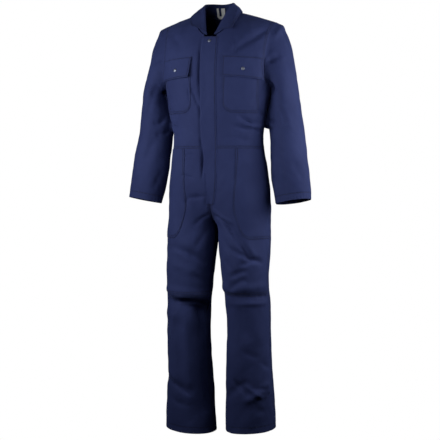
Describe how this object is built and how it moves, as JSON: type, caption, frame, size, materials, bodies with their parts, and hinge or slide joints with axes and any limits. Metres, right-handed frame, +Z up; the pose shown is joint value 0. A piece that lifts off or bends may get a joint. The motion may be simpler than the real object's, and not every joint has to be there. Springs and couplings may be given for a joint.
{
  "type": "boiler suit",
  "caption": "Long-sleeved one-piece boiler suit in navy cotton twill, concealed front, turned-down collar, flapped chest pockets and long hip pockets, filled out as worn and empty.",
  "frame": {"origin": "base of the neck between the two shoulder seams, where the wearer's shoulders hold the suit up; hems hang about 1.6 m below it", "axes": "+Z up the body, -Y out of the front, +X to the wearer's left"},
  "size_m": [0.725, 0.2814, 1.6482],
  "materials": {
    "twill": "dull navy twill with a slight sheen on raised folds",
    "stud": "satin nickel-plated cap",
    "tape": "plain woven white cotton tape"
  },
  "bodies": {
    "root": {"front_right": "twill", "front_left": "twill", "back": "twill", "sleeve_right": "twill", "sleeve_left": "twill", "collar_stand": "twill", "collar_fall": "twill", "placket": "twill", "fly": "twill", "leg_front_right_upper": "twill", "leg_front_right_lower": "twill", "leg_front_left_upper": "twill", "leg_front_left_lower": "twill", "leg_back_right": "twill", "leg_back_left": "twill", "chest_pocket_right": "twill", "chest_pocket_left": "twill", "chest_flap_right": "twill", "chest_flap_left": "twill", "hip_pocket_right": "twill", "hip_pocket_left": "twill", "stud_neck": "stud", "stud_flap_right": "stud", "stud_flap_left": "stud", "neck_tape": "tape"}
  },
  "joints": []
}
